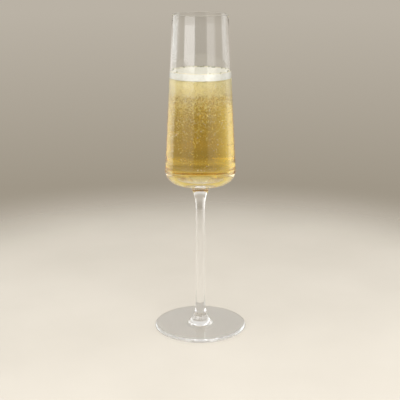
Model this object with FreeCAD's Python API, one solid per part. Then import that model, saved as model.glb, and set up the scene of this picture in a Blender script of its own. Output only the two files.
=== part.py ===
"""A fizz cocktail in its own tall stemmed flute: the glass, the drink in it and the head of foam.

Millimetres, +Z up.  The origin is the centre of the foot on the table, on the glass's own axis.
Every piece is a solid of revolution, drawn as an outline in the X-Z plane and turned about Z.
"""
import FreeCAD
import Part

import math
import os

# --- overall sizes of the glass -------------------------------------------------------------
GLASS_HEIGHT = 240.0      # table to the crown of the lip
BOWL_DEPTH = 126.3        # crown of the lip to the lowest point of the bowl's underside
LIP_RADIUS = 20.3         # outside of the lip
SHOULDER_RADIUS = 26.45   # outside of the bowl where it is widest, low down
FOOT_RADIUS = 35.2        # outside of the foot

# --- the bowl -------------------------------------------------------------------------------
SHOULDER_ROUND = 9.9      # radius of the corner between the tapering wall and the bottom
BOTTOM_SWEEP = 105.0      # radius of the nearly flat bottom, outside
CAVITY_ROUND = 13.0       # radius of the corner of the cavity, rounder than the outside
CAVITY_SWEEP = 78.0       # radius of the bottom of the cavity
LIP_WALL = 0.9            # wall thickness at the lip
SHOULDER_WALL = 1.35      # wall thickness at the shoulder
BOTTOM_WALL = 4.4         # glass between the cavity and the underside, on the axis

# --- the stem and its two flares ------------------------------------------------------------
STEM_RADIUS = 3.4
BOWL_FLARE_RADIUS = 12.0  # where the stem's upper flare runs into the bottom of the bowl
BOWL_FLARE_DROP = 20.0    # straight stem to the underside of the bowl
BOWL_FLARE_PULL = 14.5    # how far the flare keeps the stem's direction
BOWL_FLARE_SPREAD = 4.0   # how far the flare keeps the bottom's direction
MOUND_RADIUS = 11.3       # where the stem's lower flare runs into the foot
MOUND_HEIGHT = 2.9        # top of the foot there
MOUND_RISE = 29.0         # straight stem to the top of the foot
MOUND_PULL = 22.0         # how far the lower flare keeps the stem's direction
MOUND_SPREAD = 6.0        # how far the lower flare keeps the foot's direction

# --- the foot -------------------------------------------------------------------------------
FOOT_SHELF_HEIGHT = 2.1   # top of the foot where its edge begins to round off
FOOT_EDGE_WIDTH = 3.3     # width of the rounded top edge
FOOT_EDGE_HEIGHT = 0.9    # height of the outermost line of the foot
FOOT_UNDERCUT = 0.9       # width of the small round under that line
FOOT_RING_WIDTH = 3.0     # flat ring that stands on the table
FOOT_DISH = 0.8           # hollow of the underside on the axis

# --- what is in the glass -------------------------------------------------------------------
EMPTY_DEPTH = 40.7        # crown of the lip to the top of the foam
FOAM_DEPTH = 4.3          # top of the foam to the drink
MENISCUS_WIDTH = 1.7      # band in which the foam climbs the wall
MENISCUS_HEIGHT = 0.6     # height that it climbs

EDGE_PULL = 0.55          # share of each side that makes a rounded edge near to a quarter ellipse
MM3_IN_CM3 = 1000.0


def at(radius, height):
    """Point of an outline, on the X-Z plane."""
    return FreeCAD.Vector(radius, 0.0, height)


def line(start, end):
    """Straight edge between two points."""
    return Part.LineSegment(start, end).toShape()


def arc_about(centre, start, end):
    """The shorter arc from one point to another about a centre."""
    towards = (start + end) * 0.5 - centre
    towards.normalize()
    middle = centre + towards * start.distanceToPoint(centre)
    return Part.Arc(start, middle, end).toShape()


def bezier(*poles):
    """Bezier edge through its first and last pole, along the others."""
    curve = Part.BezierCurve()
    curve.setPoles(list(poles))
    return curve.toShape()


def rounded_edge(start, corner, end):
    """Near quarter ellipse from start to end, tangent to the lines that meet at the corner."""
    return bezier(start, start + (corner - start) * EDGE_PULL, end + (corner - end) * EDGE_PULL, end)


def turned(edges):
    """Solid of revolution of a closed outline about the axis of the glass."""
    face = Part.Face(Part.Wire(edges))
    return face.revolve(at(0.0, 0.0), FreeCAD.Vector(0.0, 0.0, 1.0), 360.0)


class BowlFace:
    """One face of the bowl, inside or outside: bottom sweep, corner arc and straight wall.

    The bottom is an arc centred on the axis, the corner is an arc tangent to it whose outermost
    point is at side_radius, and the wall is the line from the lip tangent to the corner.
    """

    def __init__(self, lip, side_radius, bottom_height, corner_radius, sweep_radius):
        self.lip = lip
        self.bottom = at(0.0, bottom_height)
        self.sweep_centre = at(0.0, bottom_height + sweep_radius)
        centre_radius = side_radius - corner_radius
        reach = sweep_radius - corner_radius
        centre_drop = math.sqrt(reach ** 2 - centre_radius ** 2)
        self.corner_centre = at(centre_radius, self.sweep_centre.z - centre_drop)
        outwards = (self.corner_centre - self.sweep_centre) * (1.0 / reach)
        self.corner_start = self.sweep_centre + outwards * sweep_radius
        self.corner_end = self._tangent_from_lip(corner_radius)

    def _tangent_from_lip(self, corner_radius):
        """Point where the line from the lip touches the outer side of the corner arc."""
        to_centre = self.corner_centre - self.lip
        distance = to_centre.Length
        angle = math.atan2(to_centre.z, to_centre.x) + math.asin(corner_radius / distance)
        length = math.sqrt(distance ** 2 - corner_radius ** 2)
        return self.lip + at(math.cos(angle), math.sin(angle)) * length

    def on_bottom(self, radius):
        """Point of the bottom sweep at a distance from the axis."""
        sweep_radius = self.sweep_centre.z - self.bottom.z
        return at(radius, self.sweep_centre.z - math.sqrt(sweep_radius ** 2 - radius ** 2))

    def inwards(self, point):
        """Direction of the bottom sweep at one of its points, towards the axis."""
        from_centre = point - self.sweep_centre
        return at(from_centre.z, -from_centre.x).normalize()

    def on_wall(self, height):
        """Point of the straight wall at a height."""
        share = (height - self.corner_end.z) / (self.lip.z - self.corner_end.z)
        return self.corner_end + (self.lip - self.corner_end) * share

    def edges(self, first, last):
        """Edges from a point of the bottom sweep, round the corner, to a point of the wall."""
        return [
            arc_about(self.sweep_centre, first, self.corner_start),
            arc_about(self.corner_centre, self.corner_start, self.corner_end),
            line(self.corner_end, last),
        ]


def outer_face():
    """The outside of the bowl."""
    lip = at(LIP_RADIUS, GLASS_HEIGHT - LIP_WALL / 2.0)
    bottom_height = GLASS_HEIGHT - BOWL_DEPTH
    return BowlFace(lip, SHOULDER_RADIUS, bottom_height, SHOULDER_ROUND, BOTTOM_SWEEP)


def cavity_face():
    """The inside of the bowl, which the drink and the foam fill out to."""
    lip = at(LIP_RADIUS - LIP_WALL, GLASS_HEIGHT - LIP_WALL / 2.0)
    bottom_height = GLASS_HEIGHT - BOWL_DEPTH + BOTTOM_WALL
    side_radius = SHOULDER_RADIUS - SHOULDER_WALL
    return BowlFace(lip, side_radius, bottom_height, CAVITY_ROUND, CAVITY_SWEEP)


def foot_edges(mound, inwards):
    """Edges from the middle of the dished underside, round the edge and in to the mound."""
    ring_outer = FOOT_RADIUS - FOOT_UNDERCUT
    ring_inner = ring_outer - FOOT_RING_WIDTH
    dish_centre_depth = (ring_inner ** 2 - FOOT_DISH ** 2) / (2.0 * FOOT_DISH)
    dish_edge = at(ring_inner, 0.0)
    ring_edge = at(ring_outer, 0.0)
    outermost = at(FOOT_RADIUS, FOOT_EDGE_HEIGHT)
    shelf = at(FOOT_RADIUS - FOOT_EDGE_WIDTH, FOOT_SHELF_HEIGHT)
    shelf_corner = shelf - inwards * (FOOT_EDGE_WIDTH / abs(inwards.x))
    return [
        arc_about(at(0.0, -dish_centre_depth), at(0.0, FOOT_DISH), dish_edge),
        line(dish_edge, ring_edge),
        rounded_edge(ring_edge, at(FOOT_RADIUS, 0.0), outermost),
        rounded_edge(outermost, shelf_corner, shelf),
        line(shelf, mound),
    ]


def stem_edges(mound, inwards, bowl_join, bowl_inwards):
    """Edges from the foot up the mound, the stem and its upper flare to the bowl."""
    low = at(STEM_RADIUS, MOUND_HEIGHT + MOUND_RISE)
    high = at(STEM_RADIUS, GLASS_HEIGHT - BOWL_DEPTH - BOWL_FLARE_DROP)
    up = at(0.0, 1.0)
    return [
        bezier(mound, mound + inwards * MOUND_SPREAD, low - up * MOUND_PULL, low),
        line(low, high),
        bezier(high, high + up * BOWL_FLARE_PULL, bowl_join + bowl_inwards * BOWL_FLARE_SPREAD, bowl_join),
    ]


def flute_glass():
    """The whole glass in one piece: foot, stem, bowl and rounded lip."""
    outside = outer_face()
    inside = cavity_face()
    mound = at(MOUND_RADIUS, MOUND_HEIGHT)
    inwards = (mound - at(FOOT_RADIUS - FOOT_EDGE_WIDTH, FOOT_SHELF_HEIGHT)).normalize()
    join = outside.on_bottom(BOWL_FLARE_RADIUS)
    crown = at(LIP_RADIUS - LIP_WALL / 2.0, GLASS_HEIGHT)
    edges = foot_edges(mound, inwards)
    edges += stem_edges(mound, inwards, join, outside.inwards(join))
    edges += outside.edges(join, outside.lip)
    edges.append(Part.Arc(outside.lip, crown, inside.lip).toShape())
    edges += reversed(inside.edges(inside.bottom, inside.lip))
    edges.append(line(inside.bottom, at(0.0, FOOT_DISH)))
    return turned(edges)


def drink():
    """The drink, from the bottom of the cavity up to the foam."""
    inside = cavity_face()
    level = GLASS_HEIGHT - EMPTY_DEPTH - FOAM_DEPTH
    edge = inside.on_wall(level)
    edges = inside.edges(inside.bottom, edge)
    edges.append(line(edge, at(0.0, level)))
    edges.append(line(at(0.0, level), inside.bottom))
    return turned(edges)


def foam_head():
    """The foam on the drink, which climbs the wall a little at its edge."""
    inside = cavity_face()
    top = GLASS_HEIGHT - EMPTY_DEPTH
    level = top - FOAM_DEPTH
    low_edge = inside.on_wall(level)
    high_edge = inside.on_wall(top + MENISCUS_HEIGHT)
    climb_start = at(high_edge.x - MENISCUS_WIDTH, top)
    edges = [
        line(at(0.0, level), low_edge),
        line(low_edge, high_edge),
        rounded_edge(high_edge, at(high_edge.x, top), climb_start),
        line(climb_start, at(0.0, top)),
        line(at(0.0, top), at(0.0, level)),
    ]
    return turned(edges)


NODES = {
    "flute_glass": flute_glass,
    "drink": drink,
    "foam_head": foam_head,
}

os.makedirs("parts", exist_ok=True)
for name, build in NODES.items():
    shape = build()
    shape.exportStep(f"parts/{name}.step")
    box = shape.optimalBoundingBox()
    print(f"{name}: {shape.Volume / MM3_IN_CM3:.2f} cm3, {len(shape.Solids)} solid, "
          f"valid {shape.isValid()}, z {box.ZMin:.2f} to {box.ZMax:.2f}, radius {box.XMax:.2f}")
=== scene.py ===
"""The looks of a fizz cocktail in its tall crystal flute.

Everything is in metres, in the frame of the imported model.  The glass, the drink and the foam
are turned about the axis of the glass by one Geometry Nodes tree, from outlines that are read
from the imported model.  Further trees strew the bubbles, string them in trains and froth the foam.
"""

import bpy
import math
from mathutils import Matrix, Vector
from typing import NamedTuple


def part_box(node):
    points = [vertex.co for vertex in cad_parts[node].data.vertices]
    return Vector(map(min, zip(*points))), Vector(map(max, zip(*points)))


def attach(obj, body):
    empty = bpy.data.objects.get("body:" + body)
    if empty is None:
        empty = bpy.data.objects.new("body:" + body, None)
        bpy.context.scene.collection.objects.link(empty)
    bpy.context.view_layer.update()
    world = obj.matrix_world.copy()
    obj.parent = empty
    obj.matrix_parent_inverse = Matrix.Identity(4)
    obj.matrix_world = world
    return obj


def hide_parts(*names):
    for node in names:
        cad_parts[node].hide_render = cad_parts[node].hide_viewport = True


MM = 0.001
TONE_EDGES = (0.3, 0.7)          # of a noise, where the lower and the higher colour are pure

# --- the glass ------------------------------------------------------------------------------
TURN_STEPS = 192                 # faces round the axis
WALL_OVERLAP = 0.2 * MM          # how far the drink and the foam reach into the wall
SEAM_GAP = 0.0002 * MM           # a point this near to the X-Z plane or the axis lies on it
SEAM_DIGITS = 7                  # of metres, by which two points of an outline are told apart
MERGE_DISTANCE = 0.002 * MM
SHARP_ANGLE = math.radians(40.0)
LEVEL_SLACK = 1e-6               # slope and height difference below which an outline is flat
CRYSTAL_IOR = 1.52
CRYSTAL_SHADOW = (0.95, 0.95, 0.95, 1.0)     # what each of its faces lets through of a lamp's light
CRYSTAL_FILM = 0.012             # roughness where the film is thickest
CRYSTAL_FILM_SCALE = 60.0
CRYSTAL_WAVES = 0.02 * MM        # height of the faint waves of a blown glass
CRYSTAL_WAVES_SCALE = 45.0

# --- the drink ------------------------------------------------------------------------------
DRINK_IOR = 1.333
DRINK_ABSORPTION = (2.4, 9.6, 50.0)      # per metre, for red, green and blue
DRINK_SHADOW = (0.98, 0.98, 0.98, 1.0)
DRINK_FILM = 0.01                # roughness where it is greatest
DRINK_FILM_SCALE = 120.0

# --- the bubbles ----------------------------------------------------------------------------
BUBBLE_CLEARANCE = 1.6           # of its radius, from the middle of a bubble to the wall
BUBBLE_TOP_GAP = 0.2 * MM
RAY_LENGTH = 1.0                 # of the rays that look for a wall, longer than the glass
BUBBLE_IOR = 1.33
BUBBLE_ROUGHNESS = 0.25
BUBBLE_TONE_SCALE = 900.0
BALL_FACES = 1                   # subdivisions of the ball of a small bubble
ROUND_FACES = (8, 6)             # segments and rings of the ball of a larger bubble
BUBBLE_COLOURS = {               # the lower and the higher colour of each finish
    # the first: dark balls on the foam at the wall, painted shade in the holes of the foam
    "rim_film": ((120, 120, 92), (150, 148, 116)),
    "drink_bubbles": ((254, 253, 250), (255, 255, 255)),
    "froth_bubbles": ((255, 246, 192), (255, 249, 206)),
}


class Cloud(NamedTuple):
    """Bubbles of one kind, strewn below a height."""
    name: str
    finish: str
    count: int
    radius: tuple                # smallest and largest
    depth: float                 # below that height
    crowding: float              # 1 is even, more crowds towards that height
    hug: float                   # 1 lies on the wall
    larger: bool                 # rounder balls
    seed: int


CLOUDS = (
    Cloud("fringe_bubbles", "froth_bubbles", 9900, (0.24 * MM, 0.44 * MM), 12.0 * MM, 1.6, 0.85, False, 91),
    Cloud("cream_bubbles", "froth_bubbles", 9900, (0.20 * MM, 0.38 * MM), 24.0 * MM, 2.6, 0.6, False, 71),
    Cloud("haze_bubbles", "froth_bubbles", 9900, (0.16 * MM, 0.32 * MM), 32.0 * MM, 3.6, 0.0, False, 11),
    Cloud("mist_bubbles", "froth_bubbles", 9900, (0.12 * MM, 0.22 * MM), 46.0 * MM, 3.0, 0.3, False, 83),
    Cloud("fine_bubbles", "drink_bubbles", 1400, (0.18 * MM, 0.32 * MM), 60.0 * MM, 2.4, 0.0, False, 23),
    Cloud("rising_bubbles", "drink_bubbles", 300, (0.22 * MM, 0.36 * MM), 72.0 * MM, 1.5, 0.0, True, 37),
    Cloud("clinging_bubbles", "drink_bubbles", 200, (0.20 * MM, 0.34 * MM), 68.0 * MM, 2.0, 1.0, True, 53),
)
# dark balls on the foam at the wall: painted shade where the foam has holes
RIM_CLOUD = Cloud("rim_shade_bubbles", "rim_film", 20, (0.46 * MM, 0.95 * MM), 0.5 * MM, 1.0, 1.0, True, 61)
RIM_RISE = 1.2 * MM              # of the highest above the foam


class Train(NamedTuple):
    """Trains of bubbles of one kind."""
    name: str
    finish: str
    trains: int
    bubbles: int                 # in a train
    span: tuple                  # shares of the height of the drink between which the trains start
    length: float
    reach: float                 # greatest distance of a train's line from the axis
    winding: float               # greatest distance of a bubble from that line
    turns: float                 # about that line
    seed: int


TRAINS = (
    Train("bubble_trains", "drink_bubbles", 6, 26, (0.0, 0.02), 62.0 * MM, 11.0 * MM, 3.0 * MM, 1.6, 5),
    Train("bubble_swirls", "drink_bubbles", 9, 14, (0.30, 0.72), 7.0 * MM, 15.0 * MM, 3.6 * MM, 0.7, 8),
)
TRAIN_RADIUS = (0.12 * MM, 0.26 * MM)
TRAIN_BOTTOM_GAP = 1.0 * MM
TRAIN_SWELL = (0.6, 1.0)         # share that a bubble takes of the growth along a train, by chance
TRAIN_STRETCH = 1.2              # more than 1 draws the bubbles apart as they climb

# --- the foam -------------------------------------------------------------------------------
FOAM_STEPS = 320                 # faces round the axis
FOAM_STEP = 0.35 * MM            # along its outline
FOAM_DIP = 0.25 * MM             # how far its underside reaches into the drink
FOAM_OPEN_RISE = 0.3 * MM        # above its flat top, where it no longer reaches into the wall
FOAM_RELIEF = 0.22 * MM
FOAM_RELIEF_SIZE = 2.4 * MM
FOAM_RELIEF_GAIN = 3.0           # a noise lies near its middle, so its swing is widened
FOAM_RELIEF_DETAIL = 3.0
FOAM_RELIEF_ROUGHNESS = 0.6
FOAM_TOP_BAND = (0.80, 0.98)     # of its height, where the relief begins and is full
FOAM_FOOT_BAND = (0.25, 0.0)     # of its height, where the ragged edge begins and is full
FOAM_RAGGED = 0.35 * MM          # unevenness of the edge under the foam
FOAM_RAGGED_SCALE = 260.0
FOAM_RAGGED_DETAIL = 3.0
FOAM_PIT_DEPTH = 0.5 * MM
FOAM_PIT_SIZE = 1.5 * MM
PIT_ZONE = (0.70, 0.90)          # of its radius, between which the share of pits grows
PIT_SHARE = (0.10, 0.42)         # of the cells that have a pit, in the middle and at the wall
PIT_EDGE = (0.40, 0.15)          # of the size of a pit, where it begins and where it is deepest
PIT_BAND = (-1.6 * MM, -0.5 * MM)        # from its top, where the painted shade of a pit begins and is full
# painted shade in the burst bubbles on the foam's top
PIT_SHADE_COLOUR = (158, 156, 118)
FOAM_IOR = 1.33
FOAM_ROUGHNESS = 0.55
FOAM_TONES = ((0.30, (203, 201, 191)), (0.55, (211, 210, 201)), (0.80, (218, 218, 211)))
FOAM_TONE_SCALE = 420.0
FOAM_TONE_DETAIL = 4.0
FOAM_TONE_ROUGHNESS = 0.6
FOAM_CLIMB_BAND = (-0.2 * MM, 0.4 * MM)  # from its top, where the painted shade of its edge, which climbs the wall, begins and is full
# painted shade where the foam climbs the wall: its greatest share and its colour
FOAM_CLIMB_SHARE = 0.75
FOAM_CLIMB_SHADE_COLOUR = (214, 202, 164)
FOAM_GLOW = 0.3                  # share of the light that spreads inside the foam
FOAM_GLOW_REACH = 0.6 * MM
FOAM_GLOW_SHARES = (1.0, 0.9, 0.7)       # of that reach, for red, green and blue
FOAM_GRAIN = 0.08 * MM
FOAM_GRAIN_SCALE = 1500.0
FOAM_GRAIN_DETAIL = 3.0

# --- the camera -----------------------------------------------------------------------------
CAMERA_PLACE = (-0.0003, -0.665, 0.288)
CAMERA_PITCH = math.radians(15.665)      # below the horizon
CAMERA_SENSOR = 36.0
CAMERA_LENS = 82.09
RAY_BOUNCES = 64                 # a ray meets many walls of glass, drink and bubbles

# --- the floor and the room -----------------------------------------------------------------
FLOOR_COLOUR = (184, 178, 168)
FLOOR_SPECKLE = 3                # difference in colour, from 0 to 255
FLOOR_SPECKLE_SCALE = 9.0
FLOOR_SPECKLE_DETAIL = 3.0
FLOOR_ROUGHNESS = 0.8
FLOOR_SHEEN = 0.15
FLOOR_RADIUS = 0.50
FLOOR_STEPS = 96
FLOOR_FADE = (0.22, 0.46)
FLOOR_DROP = 0.05 * MM           # the foot stands a hair above the floor, as glass does on a table
BACKDROP = ((-0.25, (160, 151, 136)), (-0.07, (186, 178, 165)), (0.10, (186, 178, 165)),
            (0.28, (224, 221, 215)), (0.60, (228, 226, 222)))     # colour by rise, from -1 to 1
FRONT_COLOUR = (124, 120, 113)   # of the room behind the camera
FRONT_EDGE = (0.88, 0.95)        # share of a level direction that points to it, where it begins and is full
FRONT_HEIGHT = (0.55, 0.25)      # rise at which it ends and is full

# --- the lamps ------------------------------------------------------------------------------
SOFTBOX_DISTANCE = 1.2
SOFTBOX_HEIGHTS = (-0.60, 0.95)  # of the lower and the upper edge of an upright softbox
SOFT_SIDES = (0.08, 0.08)
PLAIN_TINT = (1.0, 1.0, 1.0)
COOL_TINT = (0.86, 0.95, 1.0)


class Softbox(NamedTuple):
    """Upright softbox that faces the glass.

    Its bearings are of its left and right edge, in degrees from the camera's side to the right.
    """
    name: str
    bearings: tuple
    radiance: float
    levels: tuple                # pairs of a height and of the share of its radiance there
    sides: tuple = SOFT_SIDES    # shares of its width over which it fades at its left and at its right
    tint: tuple = PLAIN_TINT


SOFTBOXES = (
    Softbox("left_front_softbox", (-67.0, -20.0), 3.0,
            ((-0.60, 0.05), (0.0, 0.06), (0.10, 0.12), (0.158, 0.15), (0.176, 1.0), (0.42, 1.0),
             (0.50, 0.25), (0.95, 0.25))),
    Softbox("left_back_softbox", (-139.0, -103.0), 1.05,
            ((-0.60, 0.0), (0.10, 0.0), (0.15, 1.0), (0.95, 1.0)), tint=COOL_TINT),
    Softbox("left_back_low_softbox", (-172.0, -100.0), 0.93,
            ((-0.60, 1.0), (0.10, 1.0), (0.17, 0.0), (0.95, 0.0)), (0.75, 0.1)),
    Softbox("right_back_softbox", (94.0, 126.0), 0.85,
            ((-0.60, 0.3), (0.13, 0.3), (0.18, 0.8), (0.45, 1.0), (0.95, 1.0)), (0.08, 0.35), COOL_TINT),
    Softbox("right_back_low_softbox", (105.0, 155.0), 0.70,
            ((-0.60, 1.0), (0.10, 1.0), (0.17, 0.0), (0.95, 0.0)), (0.1, 0.75)),
    Softbox("right_front_softbox", (24.0, 66.0), 2.0,
            ((-0.60, 0.04), (0.135, 0.08), (0.155, 0.65), (0.42, 0.65), (0.55, 0.3), (0.95, 0.3)),
            (0.08, 0.4)),
)


class FillLamp(NamedTuple):
    """Softbox above the glass, turned to it, which the crystal and the drink don't mirror."""
    name: str
    bearing: float               # in degrees
    rise: float                  # in degrees
    width: float
    height: float
    radiance: float


FILL_LAMPS = (
    FillLamp("front_softbox", 6.0, 28.0, 2.6, 1.1, 5.1),
    FillLamp("overhead_softbox", 0.0, 90.0, 0.9, 0.9, 0.3),
)

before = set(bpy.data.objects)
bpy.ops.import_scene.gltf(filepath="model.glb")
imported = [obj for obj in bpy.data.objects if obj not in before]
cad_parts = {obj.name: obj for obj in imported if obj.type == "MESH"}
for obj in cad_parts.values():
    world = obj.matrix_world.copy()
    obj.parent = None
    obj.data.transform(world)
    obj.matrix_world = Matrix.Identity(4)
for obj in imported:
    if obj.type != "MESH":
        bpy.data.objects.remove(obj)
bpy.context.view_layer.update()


def shown(red, green, blue):
    """Linear colour of a colour given as it shows, from 0 to 255."""
    def linear(value):
        value /= 255.0
        return value / 12.92 if value <= 0.04045 else ((value + 0.055) / 1.055) ** 2.4
    return (linear(red), linear(green), linear(blue), 1.0)


class Graph:
    """Adds and joins the nodes of one tree."""

    def __init__(self, tree):
        self.tree = tree

    def add(self, kind, inputs=None, **settings):
        """New node with its settings and with what feeds its inputs."""
        node = self.tree.nodes.new(kind)
        for key, value in settings.items():
            setattr(node, key, value)
        for key, value in (inputs or {}).items():
            self.feed(node.inputs[key], value)
        return node

    def feed(self, socket, value):
        """Gives a socket a plain value, another socket or the first output of a node."""
        if isinstance(value, bpy.types.NodeSocket):
            self.tree.links.new(value, socket)
        elif isinstance(value, bpy.types.Node):
            self.tree.links.new(value.outputs[0], socket)
        else:
            socket.default_value = value

    def math(self, operation, first, second=0.0):
        """Result of one operation on two numbers."""
        node = self.add("ShaderNodeMath", operation=operation)
        self.feed(node.inputs[0], first)
        self.feed(node.inputs[1], second)
        return node.outputs[0]

    def vector(self, x=0.0, y=0.0, z=0.0):
        """Vector from its three numbers."""
        return self.add("ShaderNodeCombineXYZ", {"X": x, "Y": y, "Z": z}).outputs[0]

    def spread(self, value, low, high):
        """A value from 0 to 1 taken to the range from low to high."""
        return self.add("ShaderNodeMapRange", {"Value": value, "To Min": low, "To Max": high}).outputs[0]

    def eased(self, value, start, full):
        """Softly from 0 where a value is at start to 1 where it is at full."""
        return self.add("ShaderNodeMapRange", {"Value": value, "From Min": start, "From Max": full},
                        interpolation_type="SMOOTHSTEP").outputs[0]

    def burst(self, place, size, out):
        """Hollows of a size where a bubble has burst in the foam, from 0 to 1.

        Out is the distance from the axis, as a share of the foam's radius.
        """
        cells = self.add("ShaderNodeTexVoronoi", {"Vector": place, "Scale": self.math("DIVIDE", 1.0, size)})
        hollow = self.eased(cells.outputs["Distance"], *PIT_EDGE)
        draw = self.add("ShaderNodeSeparateXYZ", {"Vector": cells.outputs["Color"]}).outputs["X"]
        share = self.add("ShaderNodeMapRange", {
            "Value": out, "From Min": PIT_ZONE[0], "From Max": PIT_ZONE[1],
            "To Min": PIT_SHARE[0], "To Max": PIT_SHARE[1]})
        return self.math("MULTIPLY", hollow, self.math("LESS_THAN", draw, share))

    def ramp(self, factor, *stops):
        """Colour ramp through stops of (place, colour)."""
        node = self.add("ShaderNodeValToRGB", {"Fac": factor})
        elements = node.color_ramp.elements
        elements[0].position, elements[0].color = stops[0]
        elements[1].position, elements[1].color = stops[-1]
        for place, colour in stops[1:-1]:
            elements.new(place).color = colour
        return node.outputs[0]

    def blend(self, share, first, second):
        """Colour between two colours."""
        node = self.add("ShaderNodeMix", data_type="RGBA")
        factor, low, high = (s for s in node.inputs if s.enabled)
        for socket, value in ((factor, share), (low, first), (high, second)):
            self.feed(socket, value)
        return next(s for s in node.outputs if s.enabled)


# --- materials ------------------------------------------------------------------------------

class Material(Graph):
    """A node material with one Principled shader."""

    def __init__(self, name, **sockets):
        self.material = bpy.data.materials.new(name)
        self.material.use_nodes = True
        super().__init__(self.material.node_tree)
        self.shader = self.tree.nodes["Principled BSDF"]
        self.output = self.tree.nodes["Material Output"]
        self.place = self.add("ShaderNodeTexCoord").outputs["Object"]
        self.set(**sockets)

    def set(self, **sockets):
        """Feeds sockets of the shader, by name with _ for a space."""
        for name, value in sockets.items():
            self.feed(self.shader.inputs[name.replace("_", " ")], value)

    def noise(self, scale, detail=2.0, roughness=0.5):
        """Noise through the material, from 0 to 1."""
        return self.add("ShaderNodeTexNoise", {"Vector": self.place, "Scale": scale,
                                               "Detail": detail, "Roughness": roughness}).outputs[0]

    def bump(self, height, distance):
        """Relief of the surface."""
        node = self.add("ShaderNodeBump", {"Height": height, "Distance": distance, "Strength": 1.0})
        self.feed(self.shader.inputs["Normal"], node.outputs[0])


def let_lamps_through(made, tint):
    """Lamps also light what is behind or inside a clear piece straight through it."""
    path = made.add("ShaderNodeLightPath")
    clear = made.add("ShaderNodeBsdfTransparent", {"Color": tint})
    mixed = made.add("ShaderNodeMixShader", {0: path.outputs["Is Shadow Ray"], 1: made.shader, 2: clear})
    made.feed(made.output.inputs["Surface"], mixed)


def crystal_material():
    """Clear crystal with the faint waves and faint film of a blown glass."""
    made = Material("clear_crystal", Base_Color=(1.0, 1.0, 1.0, 1.0), IOR=CRYSTAL_IOR)
    made.set(Transmission_Weight=1.0)
    made.set(Roughness=made.spread(made.noise(CRYSTAL_FILM_SCALE), 0.0, CRYSTAL_FILM))
    made.bump(made.noise(CRYSTAL_WAVES_SCALE), CRYSTAL_WAVES)
    let_lamps_through(made, CRYSTAL_SHADOW)
    return made.material


def drink_material():
    """Clear golden drink: the colour comes from its depth."""
    made = Material("golden_drink", Base_Color=(1.0, 1.0, 1.0, 1.0), IOR=DRINK_IOR)
    made.set(Transmission_Weight=1.0)
    made.set(Roughness=made.spread(made.noise(DRINK_FILM_SCALE), 0.0, DRINK_FILM))
    density = max(DRINK_ABSORPTION)
    colour = tuple(1.0 - taken / density for taken in DRINK_ABSORPTION) + (1.0,)
    volume = made.add("ShaderNodeVolumeAbsorption", {"Color": colour, "Density": density})
    made.feed(made.output.inputs["Volume"], volume)
    let_lamps_through(made, DRINK_SHADOW)
    return made.material


def bubble_material(name, colours):
    """Gas in the drink, which throws the light back, in a colour between two; the dark balls at the rim
    carry painted shade.
    """
    made = Material(name, Roughness=BUBBLE_ROUGHNESS, IOR=BUBBLE_IOR)
    stops = [(edge, shown(*colour)) for edge, colour in zip(TONE_EDGES, colours)]
    made.set(Base_Color=made.ramp(made.noise(BUBBLE_TONE_SCALE), *stops))
    return made.material


def foam_material(top, radius):
    """Dense white foam, with painted shade where it climbs the wall and in its burst bubbles."""
    made = Material("white_foam", Roughness=FOAM_ROUGHNESS, IOR=FOAM_IOR)
    tone = made.ramp(made.noise(FOAM_TONE_SCALE, FOAM_TONE_DETAIL, FOAM_TONE_ROUGHNESS),
                     *[(edge, shown(*colour)) for edge, colour in FOAM_TONES])
    split = made.add("ShaderNodeSeparateXYZ", {"Vector": made.place})
    flat = made.vector(split.outputs["X"], split.outputs["Y"])
    out = made.add("ShaderNodeVectorMath", {0: flat}, operation="LENGTH").outputs["Value"]
    hollow = made.burst(made.place, FOAM_PIT_SIZE, made.math("DIVIDE", out, radius))
    on_top = made.add("ShaderNodeMapRange", {
        "Value": split.outputs["Z"], "From Min": top + PIT_BAND[0], "From Max": top + PIT_BAND[1]})
    # painted shade along the meniscus where the foam climbs the wall
    climb = made.add("ShaderNodeMapRange", {
        "Value": split.outputs["Z"], "From Min": top + FOAM_CLIMB_BAND[0],
        "From Max": top + FOAM_CLIMB_BAND[1], "To Max": FOAM_CLIMB_SHARE})
    climb_shaded = made.blend(climb, tone, shown(*FOAM_CLIMB_SHADE_COLOUR))
    # painted shade in the pits on the foam's top, more of them near the wall
    pit_shaded = made.blend(made.math("MULTIPLY", hollow, on_top), climb_shaded, shown(*PIT_SHADE_COLOUR))
    made.set(Base_Color=pit_shaded)
    made.set(Subsurface_Weight=FOAM_GLOW, Subsurface_Scale=FOAM_GLOW_REACH,
             Subsurface_Radius=FOAM_GLOW_SHARES)
    made.bump(made.noise(FOAM_GRAIN_SCALE, FOAM_GRAIN_DETAIL), FOAM_GRAIN)
    return made.material


# --- outlines -------------------------------------------------------------------------------

def outline_of(node):
    """Points (radius, height) along the outline of a turned CAD node, from its lower end.

    The seam of a turned solid is a run of mesh points on the X-Z plane, joined by edges.  An end
    that isn't on the axis is the edge of a flat disc, so the outline goes straight in from it.
    """
    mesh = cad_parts[node].data
    keys = [(round(v.co.x, SEAM_DIGITS), round(v.co.z, SEAM_DIGITS))
            if abs(v.co.y) < SEAM_GAP and v.co.x > -SEAM_GAP else None for v in mesh.vertices]
    joined = {}
    for edge in mesh.edges:
        a, b = (keys[i] for i in edge.vertices)
        if a is not None and b is not None and a != b:
            joined.setdefault(a, set()).add(b)
            joined.setdefault(b, set()).add(a)
    ends = sorted((key for key, others in joined.items() if len(others) == 1), key=lambda key: key[1])
    path = [ends[0]]
    while True:
        onward = [key for key in joined[path[-1]] if key not in path]
        if not onward:
            break
        path.append(onward[0])
    if path[0][0] > SEAM_GAP:
        path.insert(0, (0.0, path[0][1]))
    if path[-1][0] > SEAM_GAP:
        path.append((0.0, path[-1][1]))
    return path


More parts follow.
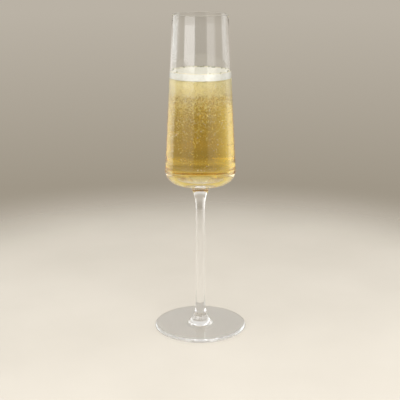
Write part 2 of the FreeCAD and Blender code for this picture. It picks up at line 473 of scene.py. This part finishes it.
def refined(path, step):
    """The same outline with no two points further apart than step."""
    fine = [path[0]]
    for (r0, z0), (r1, z1) in zip(path, path[1:]):
        count = max(1, math.ceil(math.dist((r0, z0), (r1, z1)) / step))
        fine += [(r0 + (r1 - r0) * i / count, z0 + (z1 - z0) * i / count) for i in range(1, count + 1)]
    return fine


def widened(path, growth):
    """The outline with everything but its flat top grown outwards, into the wall round it."""
    top = path[-1][1]
    wide = []
    for i, (r, z) in enumerate(path):
        before, after = path[max(i - 1, 0)], path[min(i + 1, len(path) - 1)]
        along = Vector((after[0] - before[0], after[1] - before[1])).normalized()
        flat = abs(along.y) < LEVEL_SLACK and abs(z - top) < LEVEL_SLACK
        if flat or r < SEAM_GAP:
            wide.append((r, z - (growth if i == 0 and not flat else 0.0)))
        else:
            wide.append((r + along.y * growth, z - along.x * growth if z < top - growth else z))
    return wide


# --- Geometry Nodes trees -------------------------------------------------------------------

class Rule(Graph):
    """A Geometry Nodes tree with named inputs, which ends in realized instances and a material."""

    def __init__(self, name, **inputs):
        super().__init__(bpy.data.node_groups.new(name, "GeometryNodeTree"))
        self.tree.interface.new_socket("Geometry", in_out="INPUT", socket_type="NodeSocketGeometry")
        self.tree.interface.new_socket("Geometry", in_out="OUTPUT", socket_type="NodeSocketGeometry")
        self.identifiers = {}
        for label, kind in inputs.items():
            socket = self.tree.interface.new_socket(
                label.replace("_", " "), in_out="INPUT", socket_type="NodeSocket" + kind)
            self.identifiers[label] = socket.identifier
        self.inputs = self.add("NodeGroupInput")
        self.geometry = self.inputs.outputs["Geometry"]

    def given(self, label):
        """One of the tree's named inputs."""
        return self.inputs.outputs[label.replace("_", " ")]

    def random(self, seed, item=None):
        """A number from 0 to 1 for each point, or the same one for all points of an item."""
        node = self.add("FunctionNodeRandomValue", {"Seed": seed}, data_type="FLOAT")
        if item is not None:
            self.feed(node.inputs["ID"], item)
        return next(s for s in node.outputs if s.enabled)

    def balls(self, points, radius, ball):
        """A ball of a radius on each point, smooth."""
        strewn = self.add("GeometryNodeInstanceOnPoints", {
            "Points": points, "Instance": ball, "Scale": radius})
        real = self.add("GeometryNodeRealizeInstances", {"Geometry": strewn})
        return self.add("GeometryNodeSetShadeSmooth", {"Geometry": real})

    def close(self, geometry):
        """Ends the tree: instances made real, the finish set."""
        real = self.add("GeometryNodeRealizeInstances", {"Geometry": geometry})
        finished = self.add("GeometryNodeSetMaterial", {"Geometry": real, "Material": self.given("Finish")})
        self.add("NodeGroupOutput", {"Geometry": finished})
        return self


def turning_rule():
    """Turns an outline, whose points lie in order on the X-Z plane, about the Z axis."""
    rule = Rule("turned_about_axis", Steps="Int", Merge_Distance="Float", Sharp_Angle="Float",
                Finish="Material")
    count = rule.add("GeometryNodeAttributeDomainSize", {"Geometry": rule.geometry}).outputs["Point Count"]
    columns = rule.math("ADD", rule.given("Steps"), 1.0)
    grid = rule.add("GeometryNodeMeshGrid", {"Vertices X": columns, "Vertices Y": count})
    index = rule.add("GeometryNodeInputIndex").outputs[0]
    row = rule.math("FLOORED_MODULO", index, count)
    column = rule.math("FLOOR", rule.math("DIVIDE", rule.math("ADD", index, 0.5), count))
    angle = rule.math("MULTIPLY", rule.math("DIVIDE", column, rule.given("Steps")), math.tau)
    position = rule.add("GeometryNodeInputPosition").outputs[0]
    point = rule.add("GeometryNodeSampleIndex", {"Geometry": rule.geometry, "Index": row},
                     data_type="FLOAT_VECTOR")
    rule.feed(point.inputs["Value"], position)
    split = rule.add("ShaderNodeSeparateXYZ", {"Vector": point.outputs[0]})
    x = rule.math("MULTIPLY", split.outputs["X"], rule.math("COSINE", angle))
    y = rule.math("MULTIPLY", split.outputs["X"], rule.math("SINE", angle))
    turned = rule.add("GeometryNodeSetPosition", {"Geometry": grid.outputs["Mesh"],
                                                  "Position": rule.vector(x, y, split.outputs["Z"])})
    merged = rule.add("GeometryNodeMergeByDistance", {"Geometry": turned,
                                                      "Distance": rule.given("Merge_Distance")})
    smooth = rule.add("GeometryNodeSetShadeSmooth", {"Geometry": merged})
    bend = rule.add("GeometryNodeInputMeshEdgeAngle").outputs["Unsigned Angle"]
    sharp = rule.add("FunctionNodeCompare", {"A": bend, "B": rule.given("Sharp_Angle")},
                     data_type="FLOAT", operation="GREATER_THAN")
    edged = rule.add("GeometryNodeSetShadeSmooth", {"Geometry": smooth, "Selection": sharp.outputs[0],
                                                    "Shade Smooth": False}, domain="EDGE")
    return rule.close(edged)


def bubble_rule():
    """Strews bubbles inside the geometry that the tree is given.

    Each bubble has a height below the top, a direction and a share of the way from the axis to
    the wall, which a ray finds.  Hug draws the bubbles to the wall.
    """
    rule = Rule("strewn_bubbles", Count="Int", Smallest="Float", Largest="Float", Top="Float",
                Depth="Float", Crowding="Float", Hug="Float", Round="Bool", Seed="Int",
                Finish="Material")
    seed = rule.given("Seed")
    fall, turn, share, size = (rule.random(rule.math("ADD", seed, offset)) for offset in range(4))
    risen = rule.math("POWER", fall, rule.math("DIVIDE", 1.0, rule.given("Crowding")))
    fallen = rule.math("MULTIPLY", rule.math("SUBTRACT", 1.0, risen), rule.given("Depth"))
    radius = rule.spread(rule.math("MULTIPLY", size, size), rule.given("Smallest"), rule.given("Largest"))
    height = rule.math("SUBTRACT", rule.math("SUBTRACT", rule.given("Top"), fallen), radius)
    angle = rule.math("MULTIPLY", turn, math.tau)
    towards = rule.vector(rule.math("COSINE", angle), rule.math("SINE", angle))
    ray = rule.add("GeometryNodeRaycast", {"Target Geometry": rule.geometry, "Ray Length": RAY_LENGTH,
                                           "Source Position": rule.vector(z=height),
                                           "Ray Direction": towards})
    clearance = rule.math("MULTIPLY", radius, BUBBLE_CLEARANCE)
    room = rule.math("SUBTRACT", ray.outputs["Hit Distance"], clearance)
    even = rule.math("SQRT", share)
    outwards = rule.math("MULTIPLY", rule.math("SUBTRACT", 1.0, even), rule.given("Hug"))
    hugged = rule.math("ADD", even, outwards)
    out = rule.math("MULTIPLY", room, hugged)
    place = rule.vector(rule.math("MULTIPLY", out, rule.math("COSINE", angle)),
                        rule.math("MULTIPLY", out, rule.math("SINE", angle)), height)
    points = rule.add("GeometryNodePoints", {"Count": rule.given("Count"), "Position": place,
                                             "Radius": radius})
    tiny = rule.add("GeometryNodeMeshIcoSphere", {"Radius": 1.0, "Subdivisions": BALL_FACES})
    large = rule.add("GeometryNodeMeshUVSphere", {"Radius": 1.0, "Segments": ROUND_FACES[0],
                                                  "Rings": ROUND_FACES[1]})
    ball = rule.add("GeometryNodeSwitch", {"Switch": rule.given("Round"), "False": tiny.outputs["Mesh"],
                                           "True": large.outputs["Mesh"]}, input_type="GEOMETRY")
    return rule.close(rule.balls(points, rule.add("GeometryNodeInputRadius"), ball))


def train_rule():
    """Trains of bubbles that climb through the drink, which is the geometry that the tree is given.

    The bubbles of a train grow and draw apart as they climb, and wind round the line of the train.
    """
    rule = Rule("bubble_trains", Trains="Int", Bubbles="Int", Smallest="Float", Largest="Float",
                Lowest="Float", Highest="Float", Length="Float", Reach="Float", Winding="Float",
                Turns="Float", Seed="Int", Finish="Material")
    seed = rule.given("Seed")
    index = rule.add("GeometryNodeInputIndex").outputs[0]
    share = rule.math("DIVIDE", rule.math("ADD", index, 0.5), rule.given("Bubbles"))
    train = rule.math("FLOOR", share)
    step = rule.math("SUBTRACT", share, train)
    turn, out, start, phase = (rule.random(rule.math("ADD", seed, offset), train) for offset in range(4))
    jitter, swell = (rule.random(rule.math("ADD", seed, offset)) for offset in (7, 8))
    grown_by = rule.math("MULTIPLY", step, rule.spread(swell, *TRAIN_SWELL))
    radius = rule.spread(grown_by, rule.given("Smallest"), rule.given("Largest"))
    climb = rule.math("MULTIPLY", rule.math("POWER", step, TRAIN_STRETCH), rule.given("Length"))
    height = rule.math("ADD", rule.spread(start, rule.given("Lowest"), rule.given("Highest")),
                       rule.math("ADD", climb, rule.math("MULTIPLY", jitter, radius)))
    angle = rule.math("MULTIPLY", turn, math.tau)
    reach = rule.math("MULTIPLY", rule.math("SQRT", out), rule.given("Reach"))
    wind = rule.math("MULTIPLY", rule.math("ADD", phase, rule.math("MULTIPLY", step, rule.given("Turns"))),
                     math.tau)
    sway = rule.math("MULTIPLY", step, rule.given("Winding"))
    x = rule.math("ADD", rule.math("MULTIPLY", reach, rule.math("COSINE", angle)),
                  rule.math("MULTIPLY", sway, rule.math("COSINE", wind)))
    y = rule.math("ADD", rule.math("MULTIPLY", reach, rule.math("SINE", angle)),
                  rule.math("MULTIPLY", sway, rule.math("SINE", wind)))
    floor = rule.add("GeometryNodeRaycast", {"Target Geometry": rule.geometry, "Ray Length": RAY_LENGTH,
                                             "Source Position": rule.vector(x, y, rule.given("Highest")),
                                             "Ray Direction": rule.vector(z=-1.0)})
    under = rule.add("ShaderNodeSeparateXYZ", {"Vector": floor.outputs["Hit Position"]}).outputs["Z"]
    lifted = rule.math("MAXIMUM", height, rule.math("ADD", under, TRAIN_BOTTOM_GAP))
    points = rule.add("GeometryNodePoints", {
        "Count": rule.math("MULTIPLY", rule.given("Trains"), rule.given("Bubbles")),
        "Position": rule.vector(x, y, lifted), "Radius": radius})
    ball = rule.add("GeometryNodeMeshIcoSphere", {"Radius": 1.0, "Subdivisions": BALL_FACES})
    return rule.close(rule.balls(points, rule.add("GeometryNodeInputRadius"), ball.outputs["Mesh"]))


def foam_rule():
    """Lumps, burst bubbles and a ragged lower edge on the turned foam."""
    rule = Rule("frothed", Level="Float", Top="Float", Relief="Float", Relief_Size="Float",
                Radius="Float", Pit_Depth="Float", Pit_Size="Float", Ragged="Float", Finish="Material")
    position = rule.add("GeometryNodeInputPosition").outputs[0]
    split = rule.add("ShaderNodeSeparateXYZ", {"Vector": position})
    height = split.outputs["Z"]
    flat = rule.vector(split.outputs["X"], split.outputs["Y"])
    out = rule.add("ShaderNodeVectorMath", {0: flat}, operation="LENGTH").outputs["Value"]
    depth = rule.math("SUBTRACT", rule.given("Top"), rule.given("Level"))
    risen = rule.math("DIVIDE", rule.math("SUBTRACT", height, rule.given("Level")), depth)
    on_top = rule.eased(risen, *FOAM_TOP_BAND)
    at_foot = rule.eased(risen, *FOAM_FOOT_BAND)
    lumps = rule.add("ShaderNodeTexNoise", {
        "Vector": position, "Detail": FOAM_RELIEF_DETAIL, "Roughness": FOAM_RELIEF_ROUGHNESS,
        "Scale": rule.math("DIVIDE", 1.0, rule.given("Relief_Size"))})
    swell = rule.math("MULTIPLY", rule.math("SUBTRACT", lumps.outputs[0], 0.5),
                      rule.math("MULTIPLY", rule.given("Relief"), FOAM_RELIEF_GAIN))
    hollow = rule.burst(position, rule.given("Pit_Size"), rule.math("DIVIDE", out, rule.given("Radius")))
    sunk = rule.math("MULTIPLY", hollow, rule.given("Pit_Depth"))
    above = rule.math("MULTIPLY", rule.math("SUBTRACT", swell, sunk), on_top)
    fringe = rule.add("ShaderNodeTexNoise", {
        "Vector": position, "Scale": FOAM_RAGGED_SCALE, "Detail": FOAM_RAGGED_DETAIL})
    below = rule.math("MULTIPLY", rule.math("MULTIPLY", fringe.outputs[0], rule.given("Ragged")), at_foot)
    offset = rule.vector(z=rule.math("SUBTRACT", above, below))
    moved = rule.add("GeometryNodeSetPosition", {"Geometry": rule.geometry, "Offset": offset})
    return rule.close(moved)


def grown(name, mesh, rule, **values):
    """New object from a mesh put through a tree, with the result applied as a plain mesh."""
    source = bpy.data.objects.new(name + "_source", mesh)
    bpy.context.scene.collection.objects.link(source)
    modifier = source.modifiers.new(rule.tree.name, "NODES")
    modifier.node_group = rule.tree
    for label, value in values.items():
        modifier[rule.identifiers[label]] = value
    bpy.context.view_layer.update()
    evaluated = source.evaluated_get(bpy.context.evaluated_depsgraph_get())
    result = bpy.data.meshes.new_from_object(evaluated)
    result.name = name
    result.materials.clear()
    result.materials.append(values["Finish"])
    result.polygons.foreach_set("material_index", [0] * len(result.polygons))
    bpy.data.objects.remove(source)
    piece = bpy.data.objects.new(name, result)
    bpy.context.scene.collection.objects.link(piece)
    return piece


def outline_mesh(path):
    """The outline as a run of mesh points and edges on the X-Z plane."""
    mesh = bpy.data.meshes.new("outline")
    points = [(r, 0.0, z) for r, z in path]
    mesh.from_pydata(points, [(i, i + 1) for i in range(len(points) - 1)], [])
    return mesh


# --- pieces ---------------------------------------------------------------------------------

def turned_piece(name, path, rule, finish, steps=TURN_STEPS):
    """A piece turned about the axis from an outline."""
    return grown(name, outline_mesh(path), rule, Steps=steps, Merge_Distance=MERGE_DISTANCE,
                 Sharp_Angle=SHARP_ANGLE, Finish=finish)


def foam_piece(turning, frothing):
    """The foam: a turned body that reaches into the wall and the drink, then frothed."""
    path = outline_of("foam_head")
    level = path[0][1]
    top = path[-1][1]
    radius = max(r for r, z in path)
    finish = foam_material(top, radius)
    body = [(0.0, level - FOAM_DIP)]
    for r, z in path[1:]:
        in_wall = z < top + FOAM_OPEN_RISE and r > path[-2][0]
        body.append((r + (WALL_OVERLAP if in_wall else 0.0), z))
    body[1] = (body[1][0], level - FOAM_DIP)
    turned = turned_piece("foam_body", refined(body, FOAM_STEP), turning, finish, FOAM_STEPS)
    foam = grown("foam_layer", turned.data, frothing, Level=level, Top=top, Radius=radius,
                 Relief=FOAM_RELIEF, Relief_Size=FOAM_RELIEF_SIZE, Pit_Depth=FOAM_PIT_DEPTH,
                 Pit_Size=FOAM_PIT_SIZE, Ragged=FOAM_RAGGED, Finish=finish)
    bpy.data.objects.remove(turned)
    return foam


def cloud_piece(cloud, around, top, rule, finishes):
    """One kind of bubble, strewn below a height inside the piece that is around it."""
    return grown(cloud.name, around.data.copy(), rule, Count=cloud.count, Smallest=cloud.radius[0],
                 Largest=cloud.radius[1], Top=top, Depth=cloud.depth, Crowding=cloud.crowding,
                 Hug=cloud.hug, Round=cloud.larger, Seed=cloud.seed, Finish=finishes[cloud.finish])


def train_piece(train, drink, rule, finishes):
    """Trains of bubbles that start between two shares of the height of the drink."""
    low, high = (corner.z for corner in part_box("drink"))
    return grown(train.name, drink.data.copy(), rule, Trains=train.trains, Bubbles=train.bubbles,
                 Smallest=TRAIN_RADIUS[0], Largest=TRAIN_RADIUS[1],
                 Lowest=low + train.span[0] * (high - low), Highest=low + train.span[1] * (high - low),
                 Length=train.length, Reach=train.reach, Winding=train.winding, Turns=train.turns,
                 Seed=train.seed, Finish=finishes[train.finish])


def keep(piece, slot, *nodes):
    """Joins a finished piece to the frame."""
    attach(piece, "root")
    if nodes:
        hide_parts(*nodes)


# --- stage ----------------------------------------------------------------------------------

def add_floor():
    """Pale floor that fades into the backdrop."""
    mesh = bpy.data.meshes.new("floor")
    ring = []
    for i in range(FLOOR_STEPS):
        turn = math.tau * i / FLOOR_STEPS
        ring.append((FLOOR_RADIUS * math.cos(turn), FLOOR_RADIUS * math.sin(turn), -FLOOR_DROP))
    mesh.from_pydata(ring, [], [tuple(range(FLOOR_STEPS))])
    floor = bpy.data.objects.new("floor", mesh)
    bpy.context.scene.collection.objects.link(floor)
    made = Material("pale_floor", Roughness=FLOOR_ROUGHNESS, Specular_IOR_Level=FLOOR_SHEEN)
    tones = [shown(*[part + step for part in FLOOR_COLOUR]) for step in (-FLOOR_SPECKLE, FLOOR_SPECKLE)]
    speckle = made.noise(FLOOR_SPECKLE_SCALE, FLOOR_SPECKLE_DETAIL)
    made.set(Base_Color=made.ramp(speckle, *zip(TONE_EDGES, tones)))
    distance = made.add("ShaderNodeVectorMath", {0: made.place}, operation="LENGTH").outputs["Value"]
    fade = made.eased(distance, *FLOOR_FADE)
    clear = made.add("ShaderNodeBsdfTransparent")
    mixed = made.add("ShaderNodeMixShader", {0: fade, 1: made.shader, 2: clear})
    made.feed(made.output.inputs["Surface"], mixed)
    mesh.materials.append(made.material)


def add_world():
    """Plain room: a pale warm backdrop round the horizon under a paler ceiling."""
    world = bpy.data.worlds.new("studio")
    world.use_nodes = True
    bpy.context.scene.world = world
    graph = Graph(world.node_tree)
    background = world.node_tree.nodes["Background"]
    direction = graph.add("ShaderNodeTexCoord").outputs["Generated"]
    split = graph.add("ShaderNodeSeparateXYZ", {"Vector": direction})
    rise = split.outputs["Z"]
    share = graph.add("ShaderNodeMapRange", {"Value": rise, "From Min": -1.0, "From Max": 1.0})
    stops = [((at + 1.0) / 2.0, shown(*colour)) for at, colour in BACKDROP]
    level = graph.add("ShaderNodeVectorMath", {0: graph.vector(split.outputs["X"], split.outputs["Y"])},
                      operation="NORMALIZE").outputs["Vector"]
    along = graph.add("ShaderNodeSeparateXYZ", {"Vector": level}).outputs["Y"]
    forward = graph.math("MULTIPLY", along, -1.0)
    front = graph.math("MULTIPLY", graph.eased(forward, *FRONT_EDGE), graph.eased(rise, *FRONT_HEIGHT))
    room = graph.blend(front, graph.ramp(share, *stops), shown(*FRONT_COLOUR))
    graph.feed(background.inputs["Color"], room)


def add_lamp(name, width, height, radiance, place, rotation, levels, sides, tint):
    """Rectangular softbox.

    Levels are pairs of a share of its height, from its lower edge, and of its radiance there.
    Sides are the shares of its width over which it fades at its left and at its right.
    """
    lamp = bpy.data.lights.new(name, "AREA")
    lamp.shape = "RECTANGLE"
    lamp.size, lamp.size_y = width, height
    lamp.energy = radiance * math.pi * width * height
    lamp.color = tint
    lamp.use_nodes = True
    graph = Graph(lamp.node_tree)
    spot = graph.add("ShaderNodeNewGeometry").outputs["Parametric"]
    split = graph.add("ShaderNodeSeparateXYZ", {"Vector": spot})
    across = split.outputs["X"]
    stops = [(share, (value, value, value, 1.0)) for share, value in levels]
    strength = graph.ramp(split.outputs["Y"], *stops)
    for inwards, fade in ((across, sides[0]), (graph.math("SUBTRACT", 1.0, across), sides[1])):
        strength = graph.math("MULTIPLY", strength, graph.eased(inwards, 0.0, fade))
    graph.feed(lamp.node_tree.nodes["Emission"].inputs["Strength"], strength)
    softbox = bpy.data.objects.new(name, lamp)
    bpy.context.scene.collection.objects.link(softbox)
    softbox.location = place
    softbox.rotation_euler = rotation
    softbox.visible_camera = False
    return softbox


def add_softbox(box):
    """Upright softbox, between its two bearings as seen from the glass."""
    low, high = SOFTBOX_HEIGHTS
    left, right = box.bearings
    width = 2.0 * SOFTBOX_DISTANCE * math.tan(math.radians(abs(right - left) / 2.0))
    angle = math.radians((left + right) / 2.0)
    place = Vector((SOFTBOX_DISTANCE * math.sin(angle), -SOFTBOX_DISTANCE * math.cos(angle),
                    (low + high) / 2.0))
    rotation = (-Vector((place.x, place.y, 0.0))).to_track_quat("-Z", "Y").to_euler()
    shares = [((height - low) / (high - low), value) for height, value in box.levels]
    add_lamp(box.name, width, high - low, box.radiance, place, rotation, shares, box.sides, box.tint)


def add_fill_lamp(fill):
    """Softbox that lights the foam and the bubbles and leaves no mirror image."""
    turn, lift = math.radians(fill.bearing), math.radians(fill.rise)
    towards = Vector((math.sin(turn) * math.cos(lift), -math.cos(turn) * math.cos(lift), math.sin(lift)))
    rotation = (-towards).to_track_quat("-Z", "Y").to_euler()
    even = ((0.0, 1.0), (1.0, 1.0))
    softbox = add_lamp(fill.name, fill.width, fill.height, fill.radiance, towards * SOFTBOX_DISTANCE,
                       rotation, even, SOFT_SIDES, PLAIN_TINT)
    softbox.visible_glossy = False
    softbox.visible_transmission = False


def add_camera():
    """Camera a little higher than the glass, looking down on it."""
    data = bpy.data.cameras.new("camera")
    data.sensor_width = CAMERA_SENSOR
    data.lens = CAMERA_LENS
    camera = bpy.data.objects.new("camera", data)
    bpy.context.scene.collection.objects.link(camera)
    camera.location = CAMERA_PLACE
    camera.rotation_euler = (math.radians(90.0) - CAMERA_PITCH, 0.0, 0.0)
    bpy.context.scene.camera = camera


def set_rays():
    """Standard colours, and rays that pass through all the walls."""
    bpy.context.scene.view_settings.view_transform = "Standard"
    cycles = bpy.context.scene.cycles
    cycles.max_bounces = RAY_BOUNCES
    cycles.transmission_bounces = RAY_BOUNCES
    cycles.glossy_bounces = RAY_BOUNCES
    cycles.transparent_max_bounces = RAY_BOUNCES
    cycles.diffuse_bounces = RAY_BOUNCES
    cycles.caustics_refractive = True
    cycles.caustics_reflective = True


def main():
    """Builds the pieces, joins them to the frame and sets the stage."""
    turning = turning_rule()
    bubbling = bubble_rule()
    training = train_rule()
    glass = turned_piece("crystal_flute", outline_of("flute_glass"), turning, crystal_material())
    drink_path = widened(outline_of("drink"), WALL_OVERLAP)
    drink = turned_piece("golden_drink", drink_path, turning, drink_material())
    foam = foam_piece(turning, foam_rule())
    finishes = {name: bubble_material(name, colours) for name, colours in BUBBLE_COLOURS.items()}
    under_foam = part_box("drink")[1].z - BUBBLE_TOP_GAP
    in_drink = [cloud_piece(cloud, drink, under_foam, bubbling, finishes) for cloud in CLOUDS]
    in_drink += [train_piece(train, drink, training, finishes) for train in TRAINS]
    above_foam = outline_of("foam_head")[-1][1] + RIM_RISE
    rim = cloud_piece(RIM_CLOUD, glass, above_foam, bubbling, finishes)
    keep(glass, "crystal", "flute_glass")
    keep(drink, "drink", "drink")
    keep(foam, "foam", "foam_head")
    keep(rim, "foam")
    for piece in in_drink:
        keep(piece, "drink")
    add_floor()
    add_world()
    for box in SOFTBOXES:
        add_softbox(box)
    for fill in FILL_LAMPS:
        add_fill_lamp(fill)
    add_camera()
    set_rays()


main()
